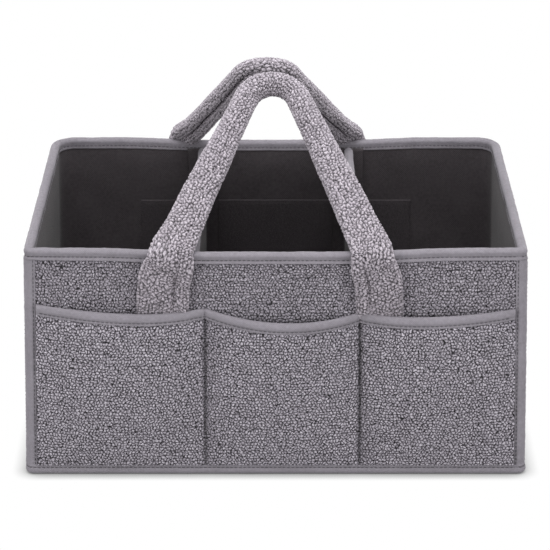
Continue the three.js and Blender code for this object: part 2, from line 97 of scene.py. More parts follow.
# The pile: the width of a nub on walls and handles, how high it stands, and the share of finer curls.
BOUCLE_NUB = 2.45
BOUCLE_RISE = 1.0
BOUCLE_FINE = 0.12
SHERPA_NUB = 2.7
SHERPA_RISE = 1.9
SHERPA_FINE = 0.1
NUB_JITTER = 0.66

# The pile on the capped ends and on the backs of pieces.
END_PILE = 0.3
BACK_PILE = 0.4
PILE_BACK_ROWS = 7

# The roots of the walls' pile, and the cloth behind them.
PILE_ROOT = BOUCLE_OUT + 0.4
PANEL_THICK = BOUCLE - 0.6

STITCH_PITCH = 3.4
STITCH_LENGTH = 2.5
THREAD_RADIUS = 0.3

# A handle: its sewn strap between two heights, the length of the strap below the grip, and the round grip.
STRAP_LOW = 114
STRAP_HIGH = 180
FOOT = 72.0
GRIP_WIDE = 17.0
GRIP_THICK = 17.4


# Numbers that look random but are the same on each run
def chance(ix, iy, seed, salt=0):
    n = (ix * 374761393 + iy * 668265263 + seed * 974711 + salt * 224682251) & 0xFFFFFFFF
    n = ((n ^ (n >> 13)) * 1274126177) & 0xFFFFFFFF
    return ((n ^ (n >> 16)) & 0xFFFF) / 65536.0


def ease(t):
    t = np.clip(t, 0.0, 1.0)
    return t * t * (3 - 2 * t)


def dent(x, width):
    """A soft bump of height 1 at 0."""
    return np.exp(-(x / width) ** 2)


def whole(x):
    return np.floor(x).astype(np.int64)


def drift(x, y, seed):
    """Smooth noise from -1 to 1 with features about one unit wide."""
    ix, iy = whole(x), whole(y)
    fx, fy = ease(x - ix), ease(y - iy)
    low = chance(ix, iy, seed) * (1 - fx) + chance(ix + 1, iy, seed) * fx
    high = chance(ix, iy + 1, seed) * (1 - fx) + chance(ix + 1, iy + 1, seed) * fx
    return 2 * (low * (1 - fy) + high * fy) - 1


def neighbours(x, y, seed, reach, jitter, stagger, turn):
    """For each cell near a place: the place along and across the cell, and the cell's numbers."""
    ix, iy = whole(x), whole(y)
    for dx in range(-reach, reach + 1):
        for dy in range(-reach, reach + 1):
            cx, cy = ix + dx, iy + dy
            rx = x - cx - stagger * (cy % 2) - 0.5 - jitter * (chance(cx, cy, seed, 1) - 0.5)
            ry = y - cy - 0.5 - jitter * (chance(cx, cy, seed, 2) - 0.5)
            angle = turn * chance(cx, cy, seed, 3)
            c, s = np.cos(angle), np.sin(angle)
            yield rx * c + ry * s, ry * c - rx * s, cx, cy


def cells(u, v, size, seed, stretch=1.35):
    """Flat-topped cells over cloth coordinates: 0 in the crevices between them, up to 1 on the tops."""
    x, y = u / size, v / size
    for pitch, reach in ((0.9, 0.1), (2.3, 0.12)):
        x = x + reach * drift(u / size * pitch, v / size * pitch, seed + 1)
        y = y + reach * drift(u / size * pitch, v / size * pitch, seed + 2)
    nearest = np.full(x.shape, 9.0)
    second = np.full(x.shape, 9.0)
    for along, across, _, _ in neighbours(x, y, seed, 2, NUB_JITTER, 0.5, math.pi):
        far = np.hypot(along / stretch, across * stretch)
        second = np.where(far < nearest, nearest, np.minimum(second, far))
        nearest = np.minimum(nearest, far)
    off_crevice = ease((second - nearest - 0.04) / 0.34)
    on_top = ease((0.36 - nearest) / 0.25)
    return np.maximum(off_crevice, on_top)


def curled(u, v, size, seed, share):
    """Nubs of a size, with a share of their height from curls of half that size."""
    return (1 - share) * cells(u, v, size, seed) + share * cells(u, v, 0.5 * size, seed + 40)


def loops_of_yarn(u, v, size, seed, stretch=1.5):
    """Short bent lengths of yarn that lie over each other: 0 between them, up to 1 on top."""
    top = np.zeros(u.shape)
    for layer in range(3):
        code = seed + 17 * layer
        x = u / size + 0.3 * drift(u / size * 0.8, v / size * 0.8, code + 1) + 0.37 * layer
        y = v / size + 0.3 * drift(u / size * 0.8, v / size * 0.8, code + 2) + 0.61 * layer
        for along, across, cx, cy in neighbours(x, y, code, 1, 0.8, 0.0, 2 * math.pi):
            across = across + 1.4 * (chance(cx, cy, code, 5) - 0.5) * along ** 2
            part = (along / (0.42 * stretch)) ** 2 + (across * stretch / 0.48) ** 2
            level = 0.55 + 0.45 * chance(cx, cy, code, 4)
            top = np.maximum(top, level * np.sqrt(np.clip(1 - part, 0, 1)))
    return top


# Points
def packed(*columns):
    """Points from their coordinates, each a number or an array."""
    return np.stack(np.broadcast_arrays(*columns), -1)


def joined(*parts):
    return np.concatenate(parts)


def unit(vectors):
    return vectors / np.maximum(np.linalg.norm(vectors, axis=-1, keepdims=True), 1e-9)


def lengths(points):
    steps = np.linalg.norm(np.diff(points, axis=0), axis=-1)
    return joined([0], np.cumsum(steps))


def columns_at(places, run, table):
    """The columns of a table that is given along run, read at other places."""
    return np.stack([np.interp(places, run, table[:, k]) for k in range(table.shape[1])], -1)


# Meshes
def make_piece(name, points, quads, tris, material, pile=None, cloth=None):
    """A smooth mesh. pile is the height of the nap at each point, cloth its place on the cloth."""
    mesh = bpy.data.meshes.new(name)
    loops = joined(quads.ravel(), tris.ravel())
    totals = np.repeat([4, 3], [len(quads), len(tris)])
    mesh.vertices.add(len(points))
    mesh.vertices.foreach_set("co", np.float32(points / 1000).ravel())
    mesh.loops.add(len(loops))
    mesh.loops.foreach_set("vertex_index", np.int32(loops))
    mesh.polygons.add(len(totals))
    mesh.polygons.foreach_set("loop_start", np.int32(np.cumsum(totals) - totals))
    mesh.polygons.foreach_set("loop_total", np.int32(totals))
    mesh.polygons.foreach_set("use_smooth", np.ones(len(totals), bool))
    mesh.update(calc_edges=True)
    mesh.validate()
    if pile is not None:
        mesh.attributes.new("pile", "FLOAT", "POINT").data.foreach_set("value", np.float32(pile))
    if cloth is not None:
        flat = np.float32(packed(*cloth.T / 1000, 0.0))
        mesh.attributes.new("cloth", "FLOAT_VECTOR", "POINT").data.foreach_set("vector", flat.ravel())
    mesh.materials.append(material)
    return linked(name, mesh)


def linked(name, data):
    item = bpy.data.objects.new(name, data)
    bpy.context.scene.collection.objects.link(item)
    return item


def ring_quads(stations, count, loop=False):
    """Quads between neighbouring rings of a grid of stations by count, each ring closed."""
    rows = np.arange(stations if loop else stations - 1)
    a = rows[:, None] * count + np.arange(count)
    b = ((rows + 1) % stations)[:, None] * count + np.arange(count)
    return np.stack([a, b, np.roll(b, -1, axis=1), np.roll(a, -1, axis=1)], axis=-1).reshape(-1, 4)


def outwards(points, quads, tris):
    """The faces turned so that the closed mesh has a positive volume."""
    a, b, c, d = points[quads.T]
    volume = (a * np.cross(b, c)).sum() + (a * np.cross(c, d)).sum()
    a, b, c = points[tris.T]
    volume += (a * np.cross(b, c)).sum()
    return (quads, tris) if volume > 0 else (quads[:, ::-1], tris[:, ::-1])


def lofted(name, rings, material, loop=False, pile=None, cloth=None):
    """A closed piece from rings (stations, count, 3). Ends that aren't joined are capped."""
    stations, count = rings.shape[:2]
    points = rings.reshape(-1, 3)
    quads = ring_quads(stations, count, loop)
    pile = None if pile is None else pile.reshape(-1)
    cloth = None if cloth is None else cloth.reshape(-1, 2)
    tris = np.zeros((0, 3), int)
    if not loop:
        points = joined(points, rings[0].mean(0)[None], rings[-1].mean(0)[None])
        if pile is not None:
            pile = joined(pile, [END_PILE, END_PILE])
        if cloth is not None:
            cloth = joined(cloth, cloth[:1], cloth[-1:])
        n, ring = stations * count, np.arange(count)
        start, following = n - count, np.roll(ring, -1)
        tris = joined(packed(n, following, ring), packed(n + 1, start + ring, start + following))
    quads, tris = outwards(points, quads, tris)
    return make_piece(name, points, quads, tris, material, pile, cloth)


def slab(name, outer, thickness, material, height=None, pile=None, cloth=None, back_rows=None):
    """A closed sheet from a grid (stations, rows, 3) raised by height. Its plain back may have fewer rows."""
    n = unit(np.cross(np.gradient(outer, axis=0), np.gradient(outer, axis=1)))
    front = outer if height is None else outer + n * height[..., None]
    rows = outer.shape[1]
    keep = np.unique(np.linspace(0, rows - 1, back_rows or rows).astype(int))[::-1]
    back = (outer - n * thickness)[:, keep]
    if pile is not None:
        pile = np.concatenate([pile, np.full(back.shape[:2], BACK_PILE)], axis=1)
    if cloth is not None:
        cloth = np.concatenate([cloth, cloth[:, keep]], axis=1)
    return lofted(name, np.concatenate([front, back], axis=1), material, pile=pile, cloth=cloth)


# Walls
def flared(points):
    """The lean of the walls, as the solids have it."""
    drop = np.maximum(0, 1 - points[..., 2] / RIM)
    out = points.copy()
    out[..., 0] *= 1 + FLARE * drop / HALF_LENGTH
    out[..., 1] *= 1 + FLARE * drop / HALF_DEPTH
    return out


def settled(points):
    """The bow and sag of the soft front and rear walls, greatest at the middle of the rim."""
    out = points.copy()
    x, y, z = points[..., 0], points[..., 1], points[..., 2]
    middle = np.clip(1 - (x / HALF_LENGTH) ** 2, 0, 1)
    near_wall = ease((np.abs(y) - 96) / 38)
    near_middle = ease((135 - np.abs(x)) / 78)
    near_rim = ease((z - 148) / 38)
    out[..., 1] += np.sign(y) * BOW * middle * near_wall * np.clip(z / RIM, 0, 1)
    out[..., 2] -= SAG * near_middle * near_wall * near_rim
    return out


def on_walls(points):
    return settled(flared(points))


def turned(points):
    """The same points on the rear wall, by a half turn about the upright axis."""
    out = points.copy()
    out[..., :2] *= -1
    return out


def on_side(points, side):
    points = on_walls(points)
    return turned(points) if side == "rear" else points


def upright(edge, z):
    """Points of a wall that stands on an edge in plan (stations, 2), at heights z."""
    return on_walls(packed(edge[:, :1], edge[:, 1:], z))


# The plan of the body: stations round its outline, each between two corner points
CORNERS = np.array([(1, -1, FRONT_RADIUS), (1, 1, REAR_RADIUS), (-1, 1, REAR_RADIUS), (-1, -1, FRONT_RADIUS)])
QUARTER = math.pi / 2


def corner_point(corner, angle, inset):
    sx, sy, radius = CORNERS[corner].T
    r = np.maximum(radius - inset, LEAST_RADIUS)
    return packed(sx * (HALF_LENGTH - inset - r) + r * np.cos(angle),
                  sy * (HALF_DEPTH - inset - r) + r * np.sin(angle))


def plan_stations(step, closed=True):
    """Stations from the front right corner round the rear to the front left one, and along the front if
    closed. Each is two corners, the angle at both, and the share of the way from one to the other."""
    stations = []
    spans = [2 * HALF_DEPTH, 2 * HALF_LENGTH] * 2
    for corner in range(4):
        start = -QUARTER + corner * QUARTER
        turns = max(4, int(CORNERS[corner, 2] * QUARTER / step))
        stations += [(corner, corner, start + QUARTER * k / turns, 0.0) for k in range(turns + 1)]
        if corner < 3 or closed:
            count = int(spans[corner] / step)
            stations += [(corner, (corner + 1) % 4, start + QUARTER, k / count) for k in range(1, count)]
    first, second, angle, share = zip(*stations)
    return np.array(first), np.array(second), np.array(angle), np.array(share)


def plan(stations, inset):
    first, second, angle, share = stations
    inset = np.broadcast_to(inset, share.shape)
    a = corner_point(first, angle, inset)
    b = corner_point(second, angle, inset)
    return a + (b - a) * share[:, None]


# Materials
def nodes_of(name):
    material = bpy.data.materials.new(name)
    material.use_nodes = True
    tree = material.node_tree
    return material, tree, tree.nodes["Principled BSDF"]


def plug(tree, node, *numbered, **named):
    """Sets inputs of a node by number or name: an output is linked, anything else is a constant."""
    values = [*enumerate(numbered), *((name.replace("_", " "), value) for name, value in named.items())]
    for key, value in values:
        if isinstance(value, bpy.types.NodeSocket):
            tree.links.new(value, node.inputs[key])
        else:
            node.inputs[key].default_value = value


def add(tree, kind, *numbered, **named):
    """A shader node with its settings, which have small letters, and its inputs."""
    node = tree.nodes.new("ShaderNode" + kind)
    for name in [name for name in named if name.islower()]:
        setattr(node, name, named.pop(name))
    plug(tree, node, *numbered, **named)
    return node


def calc(tree, operation, *values):
    return add(tree, "Math", *values, operation=operation).outputs[0]


def noise(tree, scale, detail, roughness=0.5):
    place = add(tree, "TexCoord").outputs["Object"]
    node = add(tree, "TexNoise", Vector=place, Scale=scale, Detail=detail, Roughness=roughness)
    return node.outputs["Fac"]


def blend_of(tree, factor, a, b, blend_type="MIX"):
    mix = add(tree, "Mix", data_type="RGBA", blend_type=blend_type, Factor=factor, A=a, B=b)
    return mix.outputs["Result"]


def rough_of(tree, height, strength, distance):
    return add(tree, "Bump", Height=height, Strength=strength, Distance=distance).outputs["Normal"]


def srgb(r, g, b):
    """A linear colour from the 0 to 255 values that a screen shows."""
    def linear(c):
        c = c / 255
        return c / 12.92 if c <= 0.04045 else ((c + 0.055) / 1.055) ** 2.4
    return (linear(r), linear(g), linear(b), 1.0)


def pile_material(name, crevice_shade, nub, tip_highlight, hair, uneven):
    """Curled pile: dark between the nubs, pale on them, broken up by hairs of a thickness in metres. The dark
    is painted shade in the crevices, and the palest tone is a painted highlight on the tips.
    """
    material, tree, shader = nodes_of(name)
    pile = add(tree, "Attribute", attribute_name="pile").outputs["Fac"]
    fuzz = calc(tree, "MULTIPLY_ADD", noise(tree, 1 / hair, 1.0, 0.6), 0.8, -0.27)
    ramp = add(tree, "ValToRGB", Fac=calc(tree, "MULTIPLY_ADD", pile, 0.6, fuzz))
    elements = ramp.color_ramp.elements
    # The lowest pile takes painted shade and the highest a painted highlight; the nub colour between them is
    # the cloth's own.
    elements[0].position, elements[0].color = 0.17, crevice_shade
    elements[1].position, elements[1].color = 0.94, tip_highlight
    elements.new(0.61).color = nub
    patches = add(tree, "MapRange", Value=noise(tree, 24.0, 2.0), From_Min=0.3, From_Max=0.7,
                  To_Min=0.75, To_Max=1.15).outputs["Result"]
    colour = blend_of(tree, uneven, ramp.outputs["Color"], patches, "MULTIPLY")
    plug(tree, shader, Base_Color=colour, Normal=rough_of(tree, fuzz, 0.5, 0.0005), Roughness=0.95,
         Specular_IOR_Level=0.1, Sheen_Weight=0.1, Sheen_Roughness=0.6)
    return material


def weave_material(name, dark, light, pitch, strength):
    """Plain woven cloth or tape: two crossing sets of threads of a given pitch in metres."""
    material, tree, shader = nodes_of(name)
    cloth = add(tree, "SeparateXYZ", add(tree, "Attribute", attribute_name="cloth").outputs["Vector"])
    turns = [calc(tree, "MULTIPLY", cloth.outputs[axis], math.pi / pitch) for axis in "XY"]
    over = calc(tree, "MULTIPLY", *[calc(tree, "SINE", turn) for turn in turns])
    slub = noise(tree, 420.0, 4.0, 0.7)
    tone = calc(tree, "MULTIPLY_ADD", over, 0.22, slub)
    tone = calc(tree, "MULTIPLY_ADD", noise(tree, 36.0, 3.0), 0.5, tone)
    share = add(tree, "MapRange", Value=tone, From_Min=0.35, From_Max=1.15).outputs["Result"]
    height = calc(tree, "MULTIPLY_ADD", slub, 0.8, over)
    plug(tree, shader, Base_Color=blend_of(tree, share, dark, light),
         Normal=rough_of(tree, height, strength, 0.0002), Roughness=0.8, Specular_IOR_Level=0.2,
         Sheen_Weight=0.1, Sheen_Roughness=0.5)
    return material


def fibre_material(name, dark, light, scale, strength):
    """Felted or pressed fibres, for hook and loop tape and for board."""
    material, tree, shader = nodes_of(name)
    fibre = noise(tree, scale, 5.0, 0.75)
    plug(tree, shader, Base_Color=blend_of(tree, fibre, dark, light),
         Normal=rough_of(tree, fibre, strength, 0.0005), Roughness=0.95, Specular_IOR_Level=0.15)
    return material


# Each pile runs from painted shade in its crevices, through the cloth's own colour on the nubs, to a painted
# highlight on the tips.
boucle = pile_material("boucle", srgb(16, 15, 17), srgb(133, 128, 136), srgb(212, 207, 216), 0.0009, 0.06)
sherpa = pile_material("sherpa", srgb(66, 63, 66), srgb(158, 151, 159), srgb(214, 207, 215), 0.0009, 0.12)
tape = weave_material("binding_tape", srgb(109, 105, 111), srgb(136, 132, 139), 0.0007, 0.35)
lining = weave_material("lining_cloth", srgb(50, 46, 48), srgb(78, 73, 76), 0.0009, 0.4)
thread = weave_material("sewing_thread", srgb(60, 57, 61), srgb(84, 80, 85), 0.0005, 0.3)
loop_pile = fibre_material("loop_pile", srgb(38, 35, 37), srgb(86, 81, 84), 900.0, 0.9)
board = fibre_material("pressed_board", srgb(168, 152, 126), srgb(196, 182, 156), 300.0, 0.2)


def dress(piece, node, body="shell"):
    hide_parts(node)
    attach(piece, body)


def sew(piece, slot_name, node, length, width, held, *rests_on, body="shell"):
    """Dresses a piece that is cloth of a flat size in millimetres, which is not used."""
    dress(piece, node, body)


# Outer panels
def make_panel(name, node, edge, u, z, seed, level, wave, *rests_on):
    """Boucle on a wall. level scales the height of its pile, and so its colour: a level below 1 darkens the
    pile as painted shade. wave is the unevenness of the wall.
    """
    pile = level * curled(u[:, None], z, BOUCLE_NUB, seed, BOUCLE_FINE)
    off_tapes = ease((z - 6) / 3) * ease((179 - z) / 3)
    height = pile * BOUCLE_RISE * off_tapes + wave * drift(u[:, None] / 38, z / 38, seed + 2)
    piece = slab(name, upright(edge, z), PANEL_THICK, boucle, height, pile, back_rows=PILE_BACK_ROWS)
    sew(piece, "boucle", node, u[-1] - u[0], WALL_TOP - WALL_BOTTOM, "stretched", *rests_on)


def make_panels():
    edge = plan(plan_stations(0.78, closed=False), PILE_ROOT)
    z = np.linspace(WALL_BOTTOM, WALL_TOP, 228)
    make_panel("wrap_panel", "wrap_outer_panel", edge, lengths(edge), z, 11, 1.0, 0.25,
               "left_board", "right_board", "rear_board")
    half = HALF_LENGTH - FRONT_RADIUS - 1.3
    step, behind_pocket = 0.56, 122
    x = np.linspace(-half, half, int(2 * half / step))
    hidden = np.linspace(WALL_BOTTOM, behind_pocket, 30)[:-1]
    z = joined(hidden, np.arange(behind_pocket, WALL_TOP, step))
    # The front panel's lower pile level is painted shade under the rim and above the pockets; it also lowers
    # its pile a little.
    make_panel("front_panel", "front_outer_panel", packed(x, PILE_ROOT - HALF_DEPTH), x, z, 21, 0.91, 0.0,
               "front_board")


# Stitches: short lengths of thread that dip into the cloth at both ends
def make_stitches(name, path, faces, body="shell"):
    """A row of stitches along a path. faces is the way out of the cloth, for all or for each point."""
    faces = np.broadcast_to(faces, path.shape)
    run = lengths(path)
    sections = np.array([-0.5, -0.3, 0.0, 0.3, 0.5])
    dips = np.array([-0.3, 0.05, 0.2, 0.05, -0.3])
    widths = np.array([0.5, 0.9, 1.0, 0.9, 0.5]) * THREAD_RADIUS
    sides = 6
    angles = 2 * math.pi * np.arange(sides) / sides
    points = []
    for start in np.arange(1.0, run[-1] - STITCH_LENGTH, STITCH_PITCH):
        at = start + STITCH_LENGTH * (sections + 0.5)
        middle = columns_at(at, run, path)
        normal = unit(columns_at(at, run, faces))
        across = np.cross(unit(np.gradient(middle, axis=0)), normal)
        middle = middle + normal * dips[:, None]
        round_it = across[:, None] * np.cos(angles)[:, None] + normal[:, None] * np.sin(angles)[:, None]
        ring = middle[:, None] + widths[:, None, None] * round_it
        points.append(ring.reshape(-1, 3))
    cap = packed(0, np.arange(1, sides - 1), np.arange(2, sides))
    caps = joined(cap[:, ::-1], cap + (len(sections) - 1) * sides)
    base = np.arange(len(points))[:, None, None] * len(sections) * sides
    quads, tris = (ring_quads(len(sections), sides) + base).reshape(-1, 4), (caps + base).reshape(-1, 3)
    points = np.concatenate(points)
    quads, tris = outwards(points - points.mean(0), quads, tris)
    piece = make_piece(name, points, quads, tris, thread, cloth=np.zeros((len(points), 2)))
    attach(piece, body)


def make_ring_stitches(name, stations, inset, height, sign=1):
    """A row of stitches round the body that faces outwards, or inwards if sign is -1."""
    ring = plan(stations, inset)
    face = (ring - plan(stations, inset + 1.0)) * sign
    make_stitches(name, on_walls(packed(*ring.T, height)), unit(packed(*face.T, 0.0)))


# Tapes: each is a section, folded over an edge, that is swept along that edge
def folded_path(width, height, top, fold=None, legs=9, turns=9):
    """The line of a tape folded over an edge, at an inset: up the front, over the fold, down the rear."""
    half = width / 2
    fold = half if fold is None else fold

    def path(inset):
        wide, tall = half - inset, fold - inset
        leg = np.linspace(top - height, top - fold, legs)[:-1]
        angle = np.linspace(math.pi, 0, turns)
        arch = packed(wide * np.cos(angle), top - fold + tall * np.sin(angle))
        return joined(packed(-wide, leg), arch, packed(wide, leg[::-1]))
    return path


def tape_section(path, thick=TAPE):
    """A closed section between two insets of a path, 1 on its outer face, and the length along it."""
    outer, inner = path(0.0), path(thick)
    run = lengths(outer)
    is_outer = np.repeat([1.0, 0.0], [len(outer), len(inner)])
    return joined(outer, inner[::-1]), is_outer, joined(run, run[::-1])


def puckers(along, run, seed, small, large):
    """Puckers of a sewn tape: small ones by height, length and width, large ones by height and size."""
    u = along[:, None]
    return (small[0] * drift(u / small[1], run / small[2], seed)
            + large[0] * drift(u / large[1], run / large[1], seed + 1))


def make_tape(name, points, along, run, length, width, *rests_on, body="shell", loop=False):
    piece = lofted(name, points, tape, loop=loop, cloth=packed(along[:, None], run))
    sew(piece, "tape", name.replace("_tape", "_binding"), length, width, "folded", *rests_on, body=body)


def swept(stations, inset, height):
    """Points round the body at the insets and heights of a section, (stations, section, 3)."""
    points = np.zeros(inset.shape + (3,))
    for k in range(inset.shape[1]):
        points[:, k, :2] = plan(stations, inset[:, k])
    points[..., 2] = height
    return on_walls(points)


# Pockets
def pocket_ends(half):
    """The ends of a pocket panel, with the two seams between them."""
    seam = half * SEAM_SHARE
    shift = FRONT_SEAM_SHIFT if half == FRONT_POCKET_HALF else 0.0
    return np.array([-half, shift - seam, shift + seam, half])


def pocket_place(half, x):
    """Where x lies between the seams of its pocket, from -1 to 1, and how deep that pocket dips."""
    ends = pocket_ends(half)
    bay = np.clip(np.searchsorted(ends, x, "right") - 1, 0, 2)
    start, end = ends[bay], ends[bay + 1]
    return 2 * (x - start) / (end - start) - 1, np.array(MOUTH_DIPS)[bay]


def pocket_mouth(half, x):
    across, dip = pocket_place(half, x)
    ends = pocket_ends(half)
    level = np.interp(x, ends, FRONT_MOUTH_LEVELS) if half == FRONT_POCKET_HALF else 0.0
    skew = 1 - MOUTH_SKEW * across * np.sign(x) * (np.abs(x) > ends[2])
    return POCKET_PEAK + level - dip * (1 - across ** 2) * skew


def pocket_points(half, x, z, out):
    """Points that stand off the wall by the swell of the pocket and by out."""
    across, _ = pocket_place(half, x)
    up = np.clip((z - POCKET_BOTTOM) / (POCKET_PEAK - POCKET_BOTTOM), 0, 1)
    profile = 1 - (1 - up) ** 3 - MOUTH_PULL * ease((up - 0.84) / 0.26)
    swell = POCKET_BULGE * (1 - np.abs(across) ** 2.6) * profile
    return packed(x, BOUCLE_OUT - HALF_DEPTH - 0.3 - swell - out, z)


def pocket_columns(half, step):
    """Stations along a pocket panel, closer together near its seams, where it turns in."""
    x = np.arange(-half, half + step / 2, step)
    near = np.concatenate([np.linspace(-4, 4, 17) + seam for seam in pocket_ends(half)[1:3]])
    edge = joined(np.linspace(0, 4, 9) - half, half - np.linspace(0, 4, 9))
    x = np.unique(np.round(joined(np.clip(x, -half, half), near, edge), 3))
    kept = [x[0]]
    for value in x[1:]:
        if value - kept[-1] > 0.3:
            kept.append(value)
    return np.array(kept)


def facing(side):
    return np.array([0, 1.0 if side == "rear" else -1.0, 0])


def make_pocket(side, half, step, seed):
    x = pocket_columns(half, step)[:, None]
    mouth = pocket_mouth(half, x)
    tall = POCKET_PEAK - POCKET_BOTTOM
    rows = int(tall / step)
    z = POCKET_BOTTOM + (mouth - 1.4 - POCKET_BOTTOM) * np.linspace(0, 1, rows)
    below_tape = ease((mouth - POCKET_TAPE_WIDTH - z + 1.2) / 1.2)
    outer = pocket_points(half, x, z, 1.5 + 0.3 * below_tape)
    u = lengths(outer[:, rows // 2])[:, None]

    # The pile, lower at the seams and most of all at their right: this sinks the cloth there a little, and
    # darkens it as painted shade in each seam and to its right
    pile = curled(u, z, BOUCLE_NUB, seed, BOUCLE_FINE)
    seams = pocket_ends(half)[1:3]
    for seam in seams:
        # Painted shade in each seam and on the pocket to its right
        shade_right_of_seam = np.where(x > seam, 0.22 * np.exp(-np.abs(x - seam) / 6.5), 0.0)
        pile = pile * (1 - 0.48 * dent(x - seam, 1.5)) * (1 - shade_right_of_seam)
    across, _ = pocket_place(half, x)
    loose = 0.5 * drift(u / 30, z / 30, seed + 2) * (1 - across ** 4)
    height = (pile * BOUCLE_RISE - 0.1) * below_tape * ease((z - POCKET_BOTTOM) / 2 + 0.4) + loose
    for seam in seams:
        height = height - 1.1 * dent(x - seam, 1.6)
    outer = on_side(outer, side)
    piece = slab(f"{side}_pocket", outer, 1.2, boucle, height, pile, back_rows=PILE_BACK_ROWS)
    sew(piece, "boucle", f"{side}_pocket_panel", u.max(), tall, "stretched",
        "front_panel" if side == "front" else "wrap_panel")
    make_pocket_tape(side, half, seed + 5)
    for number, seam in enumerate(seams):
        z = np.arange(POCKET_BOTTOM + 1, pocket_mouth(half, np.array([seam]))[0] - POCKET_TAPE_WIDTH, 1.0)
        line = pocket_points(half, np.full(len(z), seam), z, 0.75)
        make_stitches(f"{side}_pocket_seam_{number + 1}", on_side(line, side), facing(side))


def make_pocket_tape(side, half, seed):
    width, stitch_up = 3.4, 1.9
    x = pocket_columns(half, 1.2)
    mouth = pocket_mouth(half, x)
    u = lengths(pocket_points(half, x, mouth, 0.0))
    profile, is_outer, run = tape_section(folded_path(width, POCKET_TAPE_WIDTH, 0.0), 0.8)
    above = profile[:, 1] + POCKET_TAPE_WIDTH
    groove = dent(above - stitch_up, 0.55)
    plump = 0.6 * np.sin(np.pi * np.clip((above - 2.0) / 6, 0, 1))
    mitre = sum(dent(x - seam, 0.8) for seam in pocket_ends(half)[1:3])
    pucker = puckers(u, run, seed, (0.16, 3.1, 5), (0.12, 9))
    lift = (pucker + plump - 0.6 * groove - mitre[:, None]) * is_outer * np.sign(-profile[:, 0])
    out = -profile[:, 0] + width / 2 - 0.2 + lift
    points = pocket_points(half, x[:, None], mouth[:, None] + profile[:, 1], out)
    make_tape(f"{side}_pocket_tape", on_side(points, side), u, run, u[-1], 2 * POCKET_TAPE_WIDTH + 1.5,
              f"{side}_pocket")
    sx = np.interp(np.arange(2.0, u[-1] - 2, 0.5), u, x)
    sz = pocket_mouth(half, sx) - POCKET_TAPE_WIDTH + stitch_up
    line = pocket_points(half, sx, sz, width - 0.05)
    make_stitches(f"{side}_pocket_stitches", on_side(line, side), facing(side))


# Tapes round the body
def make_rim_tape():
    stations = plan_stations(1.2)
    u = lengths(plan(stations, 0.0))
    fold, stitch_up = 3.4, 2.6
    bottom, shoulder = RIM - RIM_TAPE_WIDTH, RIM - fold
    profile, is_outer, run = tape_section(folded_path(RIM_TAPE_IN, RIM_TAPE_WIDTH, RIM, fold, 11, 17))
    side = np.sign(profile[:, 0])
    above = profile[:, 1] - bottom
    lip = np.clip(1 - above / 2.4, 0, 1)
    tuck = 1 - ease((above - 2.0) / 5.0)
    pucker = puckers(u, run, 41, (0.2, 3.3, 6), (0.22, 11))
    firm = np.where(side < 0, 1.0, 0.25)
    lift = pucker * is_outer + firm * (0.9 * lip - 0.9 * tuck - 0.5 * dent(above - stitch_up, 0.6))
    fade = np.clip((shoulder + 2.5 - profile[:, 1]) / 3, 0, 1)
    inset = RIM_TAPE_IN / 2 + profile[:, 0] + side * lift * fade
    height = profile[:, 1] + (1 - fade) * is_outer * 0.7 * pucker
    make_tape("rim_tape", swept(stations, inset, height), u, run, run.max(), u[-1],
              "wrap_panel", "front_panel", loop=True)
    make_ring_stitches("rim_outer_stitches", stations, 1.15, bottom + stitch_up)
    make_ring_stitches("rim_inner_stitches", stations, RIM_TAPE_IN - 0.25, bottom + stitch_up, -1)


def make_bottom_tape():
    stations = plan_stations(1.4)
    u = lengths(plan(stations, 0.0))
    bend, stitch_up = 3.2, 6.1

    def path(inset):
        leg = np.linspace(BOTTOM_TAPE_WIDTH, bend, 8)[:-1]
        angle = np.linspace(math.pi, 1.5 * math.pi, 8)
        arch = packed(bend + (bend - inset) * np.cos(angle), bend + (bend - inset) * np.sin(angle))
        under = packed(np.linspace(bend, BOTTOM_TAPE_UNDER, 6)[1:], inset)
        return joined(packed(inset, leg), arch, under)

    profile, is_outer, run = tape_section(path)
    above = profile[:, 1]
    groove = dent(above - stitch_up, 0.55)
    edge = dent(above - BOTTOM_TAPE_WIDTH, 0.6)
    plump = 0.8 * (1 - above / BOTTOM_TAPE_WIDTH)
    pucker = puckers(u, run, 51, (0.18, 3.4, 6), (0.2, 12))
    standing = np.clip((above - 0.8) / 2.5, 0, 1)
    inset = profile[:, 0] - (pucker + plump - 0.9 * groove - 0.3 * edge) * is_outer * standing
    make_tape("bottom_tape", swept(stations, inset, above), u, run, run.max(), u[-1],
              "wrap_panel", "front_panel", loop=True)
    make_ring_stitches("bottom_stitches", stations, 0.2, stitch_up)


